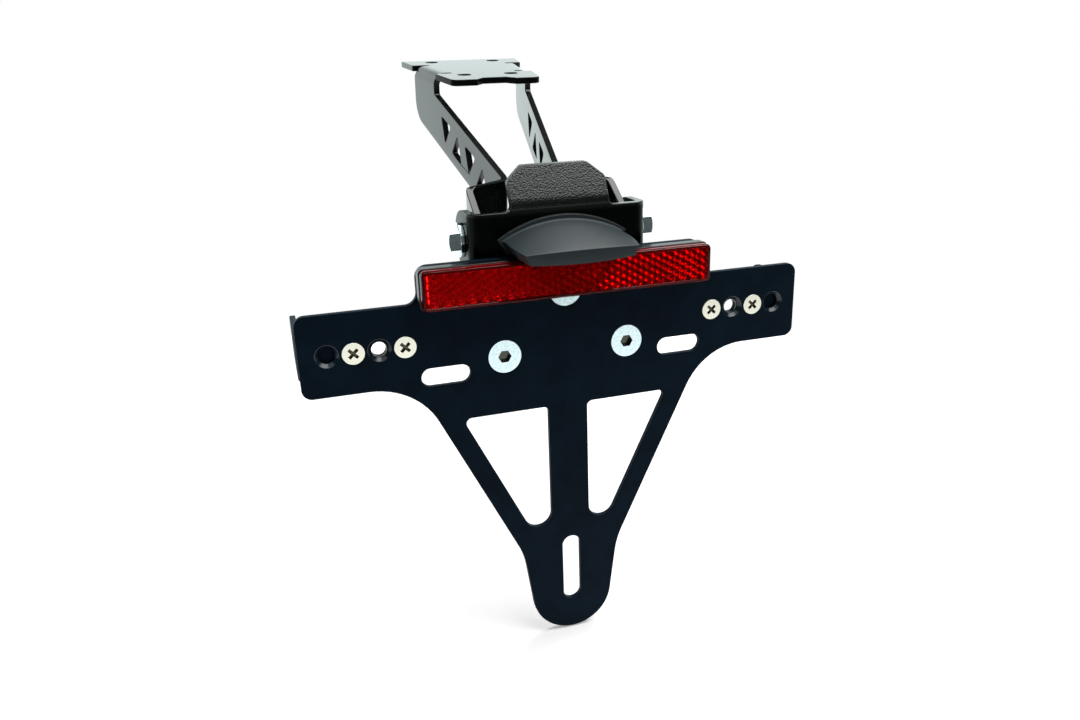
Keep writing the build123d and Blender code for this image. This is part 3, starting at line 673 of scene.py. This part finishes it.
LENS_CENTRE = CARRIER_FRONT + OUTWARD * (PAD_MM + BACK_MM) * MM + UPWARD * LENS_LIFT_MM * MM
BACK_EDGE = 0.4 * MM


def to_carrier(points):
    """Points across, up and out of the lens's back, placed on the tilted carrier."""
    return points @ np.stack([ACROSS, UPWARD, OUTWARD]) + LENS_CENTRE


def prism_field(half_length, half_height):
    """Corner prisms: the depth of a hexagon's centre, of its near corners and of its far corners steps
    like stacked cubes, so three square facets meet in each centre. The field is then cut square."""
    step = PRISM_SIDE / np.sqrt(2)
    column, row = np.meshgrid(
        np.arange(-PRISM_COLUMNS, PRISM_COLUMNS + 1), np.arange(-PRISM_ROWS, PRISM_ROWS + 1), indexing="ij"
    )
    centre_x = 1.5 * PRISM_SIDE * column
    centre_y = np.sqrt(3) * PRISM_SIDE * (row + 0.5 * (column % 2))
    centre = np.stack([centre_x, centre_y], -1).reshape(-1, 1, 2)
    angle = np.arange(6) * np.pi / 3
    corner = centre + PRISM_SIDE * np.stack([np.cos(angle), np.sin(angle)], -1)
    flat = np.concatenate([centre, corner], 1)
    depth = np.array([0, 2, 1, 2, 1, 2, 1]) * step
    points = np.concatenate([flat, np.broadcast_to(depth[:, None], flat.shape[:2] + (1,))], -1)
    facets = np.array([[0, 6, 1, 2], [0, 2, 3, 4], [0, 4, 5, 6]])
    faces = (np.arange(len(points))[:, None, None] * 7 + facets).reshape(-1, 4)
    work = bmesh.new()
    mesh = bpy.data.meshes.new("prism_field")
    mesh.from_pydata(points.reshape(-1, 3).tolist(), [], faces.tolist())
    work.from_mesh(mesh)
    bmesh.ops.remove_doubles(work, verts=work.verts, dist=10 * WELD)
    for normal, reach in (((1, 0, 0), half_length), ((0, 1, 0), half_height)):
        for sign in (-1, 1):
            cut = np.array(normal) * sign
            bmesh.ops.bisect_plane(
                work,
                geom=work.verts[:] + work.edges[:] + work.faces[:],
                plane_co=cut * reach,
                plane_no=cut,
                clear_outer=True,
            )
    border = [edge for edge in work.edges if edge.is_boundary]
    raised = bmesh.ops.extrude_edge_only(work, edges=border)["geom"]
    raised = [item for item in raised if isinstance(item, bmesh.types.BMVert)]
    bmesh.ops.scale(work, verts=raised, vec=(1, 1, 0))
    bmesh.ops.translate(work, verts=raised, vec=(0, 0, LENS_DEPTH - WINDOW_DROP))
    window = [edge for edge in work.edges if edge.is_boundary]
    bmesh.ops.edgeloop_fill(work, edges=window)
    bmesh.ops.recalc_face_normals(work, faces=work.faces)
    work.to_mesh(mesh)
    work.free()
    return mesh


def rim_ring(half_length, half_height, width, depth):
    """Rim round the window: a chamfered bar profile carried round a rectangle with rounded corners."""
    quarter = np.linspace(0, np.pi / 2, CORNER_STEPS)
    arc = np.concatenate([quarter + k * np.pi / 2 for k in range(4)])
    sign_x = np.repeat([1, -1, -1, 1], CORNER_STEPS)
    sign_y = np.repeat([1, 1, -1, -1], CORNER_STEPS)
    outer_edge = [[inset * MM, depth - drop * MM] for inset, drop in RIM_ROUND_MM]
    window_edge = [[width - RIM_BEVEL, depth], [width, depth - WINDOW_DROP], [width, 0]]
    profile = np.array([[0, 0], *outer_edge, *window_edge, [0, 0]])
    inset, level = profile[:, 0][:, None], profile[:, 1][:, None]
    round_off = np.maximum(RIM_CORNER - inset, RIM_CORNER_LEAST)
    x = sign_x * (half_length - inset - round_off) + round_off * np.cos(arc)
    y = sign_y * (half_height - inset - round_off) + round_off * np.sin(arc)
    return np.stack([x, y, np.broadcast_to(level, x.shape)], -1)


# Red acrylic is smooth and clear: some prisms flash red and others go dark. The rim is thicker to look
# through, so it is deeper red. The ABS behind it has a low shine, and the foam has none.
red_acrylic = clear_moulding(
    "red acrylic", "#f20a0c", "#fa1010", ior=1.42, roughness=0.03, clarity=0.97, shine="#603030"
)
red_edge = clear_moulding(
    "red acrylic, polished edge",
    "#700507",
    "#84080a",
    ior=1.49,
    roughness=0.08,
    clarity=0.7,
    shine="#a07070",
)
black_abs = moulded(
    "black ABS", "#08090a", "#0e0f10", roughness=0.3, grain_mm=0.8, grain_height_mm=0.006, specular=0.25
)
foam = moulded(
    "closed-cell foam", "#0a0a0a", "#151515", roughness=0.9, grain_mm=0.5, grain_height_mm=0.08
)

field = prism_field(LENS_HALF_LENGTH - RIM_WIDTH - RIM_GAP, LENS_HALF_HEIGHT - RIM_WIDTH - RIM_GAP)
spots = np.empty(len(field.vertices) * 3)
field.vertices.foreach_get("co", spots)
field.vertices.foreach_set("co", to_carrier(spots.reshape(-1, 3)).ravel())
field.materials.append(red_acrylic)
prisms = bpy.data.objects.new("reflector_prisms", field)
bpy.context.scene.collection.objects.link(prisms)
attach(prisms, "carrier")
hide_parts("reflector_lens")

ring = rim_ring(LENS_HALF_LENGTH, LENS_HALF_HEIGHT, RIM_WIDTH, LENS_DEPTH)
rim = turned("reflector_rim", [ring[..., [1, 0, 2]]], red_edge, LENS_CENTRE, OUTWARD, UPWARD)
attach(rim, "carrier")
eased("reflector_housing", black_abs, BACK_EDGE, segments=3)
dress("reflector_pad", foam)

# Studio: a pale paper floor, a white sweep that rises behind the object, a bright ceiling and one large
# softbox above and to the right. Between sweep and ceiling it is dim, so dark faces stay dark.
FLOOR_RADIUS = 0.32
FLOOR_MIDDLE = (0, -0.12)
FLOOR_GAP = 0.0002  # the tip hangs this far above the paper
FLOOR_LIFT = 0.3  # glow that brings the lit paper up to the white around it
NEAR_TO_FAR = {"From Min": -0.4, "From Max": 0.4}  # from the camera's side to the far side
SWEEP_BLUR = 0.035  # how softly the sweep ends at its top
DIM = 0.07
SWEEP_FAR = 1.5
AROUND = 0.18  # what matt faces get from every side
SOFTBOX = np.array([0.45, -0.02, 1.02])
SOFTBOX_SIZE = 1.35
SOFTBOX_WATTS = 26

spokes = np.linspace(0, 2 * np.pi, 96, endpoint=False)
rings = np.linspace(0, FLOOR_RADIUS, 12)[:, None]
disc = np.stack([rings * np.cos(spokes), rings * np.sin(spokes), 0 * rings * spokes], -1)
disc += np.array([*FLOOR_MIDDLE, cad_box[0].z - FLOOR_GAP])
index = np.arange(disc.shape[0] * disc.shape[1]).reshape(disc.shape[:2])
beside = np.roll(index, -1, axis=1)
floor_mesh = bpy.data.meshes.new("floor")
floor_mesh.from_pydata(
    disc.reshape(-1, 3).tolist(),
    [],
    np.stack([index[:-1], index[1:], beside[1:], beside[:-1]], -1).reshape(-1, 4).tolist(),
)

# Paper is matt and takes the shadow. Its glow is for the eye, glass and metal alone and lights nothing.
paper, tree = bare_material("white paper")
path = put(tree, "LightPath")
eye, clear, gloss = (path.outputs[f"Is {ray} Ray"] for ray in ("Camera", "Transmission", "Glossy"))
seen = put(tree, "Math", {0: eye, 1: clear}, operation="MAXIMUM")
seen = put(tree, "Math", {0: seen.outputs[0], 1: gloss}, operation="MAXIMUM")
matt = put(tree, "BsdfDiffuse", {"Color": linear("#f2f2f2")})
lift = put(tree, "Math", {0: seen.outputs[0], 1: FLOOR_LIFT}, operation="MULTIPLY")
glow = put(tree, "Emission", {"Strength": lift.outputs[0]})
both = put(tree, "AddShader", {0: matt.outputs[0], 1: glow.outputs[0]})
put(tree, "OutputMaterial", {"Surface": both.outputs[0]})
floor_mesh.materials.append(paper)
floor = bpy.data.objects.new("floor", floor_mesh)
bpy.context.scene.collection.objects.link(floor)

surround = bpy.data.worlds.new("surround")
surround.use_nodes = True
tree = surround.node_tree
tree.nodes.clear()
path = put(tree, "LightPath")
eye, clear, gloss = (path.outputs[f"Is {ray} Ray"] for ray in ("Camera", "Transmission", "Glossy"))
heading = put(tree, "SeparateXYZ", {"Vector": put(tree, "TexCoord").outputs["Generated"]})
rightward, far, rise = (heading.outputs[axis] for axis in "XYZ")

# What gloss shows: the sweep up to its top, which is higher at the far side, the dim band and the ceiling.
sweep_top = put(tree, "MapRange", {"Value": far, **NEAR_TO_FAR, "To Min": -0.13, "To Max": 0.36})
above = put(tree, "Math", {0: rise, 1: sweep_top.outputs["Result"]}, operation="SUBTRACT")
white = put(tree, "MapRange", {"Value": far, **NEAR_TO_FAR, "To Min": 1.45, "To Max": SWEEP_FAR})
low = put(
    tree,
    "MapRange",
    {"Value": above.outputs[0], "From Min": SWEEP_BLUR, "From Max": -SWEEP_BLUR, "To Min": DIM},
)
low = put(tree, "Math", {0: low.outputs["Result"], 1: white.outputs["Result"]}, operation="MULTIPLY")
ceiling = put(tree, "MapRange", {"Value": far, **NEAR_TO_FAR, "To Max": 0.12})
over = put(tree, "Math", {0: rise, 1: ceiling.outputs["Result"]}, operation="SUBTRACT")
high = put(tree, "MapRange", {"Value": over.outputs[0], "From Min": 0.62, "From Max": 0.74, "To Max": 1.2})
tent = put(tree, "Math", {0: low.outputs[0], 1: high.outputs["Result"]}, operation="MAXIMUM")
mirrored = put(tree, "Background", {"Color": linear("#f2fffe"), "Strength": tent.outputs[0]})

# What clear plastics show: the same with more contrast, and a bright right side that makes the prisms flash.
flash = put(tree, "MapRange", {"Value": rightward, "From Min": -0.14, "From Max": -0.08, "To Max": 7})
bright = put(
    tree,
    "MapRange",
    {"Value": tent.outputs[0], "From Min": DIM, "From Max": SWEEP_FAR, "To Min": 0.06, "To Max": 2.2},
)
bright = put(tree, "Math", {0: bright.outputs["Result"], 1: flash.outputs["Result"]}, operation="ADD")
through = put(tree, "Background", {"Color": linear("#ffffff"), "Strength": bright.outputs[0]})

# Matt faces get an even dim light, and the camera sees plain white.
soft = put(tree, "Background", {"Color": linear("#ffffff"), "Strength": AROUND})
plain = put(tree, "Background", {"Color": linear("#ffffff"), "Strength": 1.0})
lit = put(tree, "MixShader", {0: gloss, 1: soft.outputs[0], 2: mirrored.outputs[0]})
lit = put(tree, "MixShader", {0: clear, 1: lit.outputs[0], 2: through.outputs[0]})
shown = put(tree, "MixShader", {0: eye, 1: lit.outputs[0], 2: plain.outputs[0]})
put(tree, "OutputWorld", {"Surface": shown.outputs[0]})
bpy.context.scene.world = surround

softbox = bpy.data.lights.new("softbox", "AREA")
softbox.shape = "SQUARE"
softbox.size = SOFTBOX_SIZE
softbox.energy = SOFTBOX_WATTS
overhead = bpy.data.objects.new("softbox", softbox)
overhead.location = SOFTBOX
overhead.rotation_euler = Vector(SOFTBOX - HINGE).to_track_quat("Z", "Y").to_euler()
bpy.context.scene.collection.objects.link(overhead)

# Camera: a little left of the carrier's middle and above it, looking down, as the photograph was taken.
EYE = np.array([-95.4, -385.2, 46.8]) * MM
AHEAD = np.array([0.2813, 0.8591, -0.4276])
ABOVE = np.array([0.1278, 0.4081, 0.9039])
ahead = AHEAD / np.linalg.norm(AHEAD)
right = np.cross(ahead, ABOVE)
right /= np.linalg.norm(right)
view = bpy.data.cameras.new("camera")
view.sensor_width = 36
view.lens = 29
view.clip_start = 0.01
camera = bpy.data.objects.new("camera", view)
stand = np.eye(4)
stand[:3, :3] = np.stack([right, np.cross(right, ahead), -ahead], 1)
stand[:3, 3] = EYE
camera.matrix_world = Matrix(stand.tolist())
bpy.context.scene.collection.objects.link(camera)
bpy.context.scene.camera = camera
bpy.context.scene.view_settings.view_transform = "Standard"
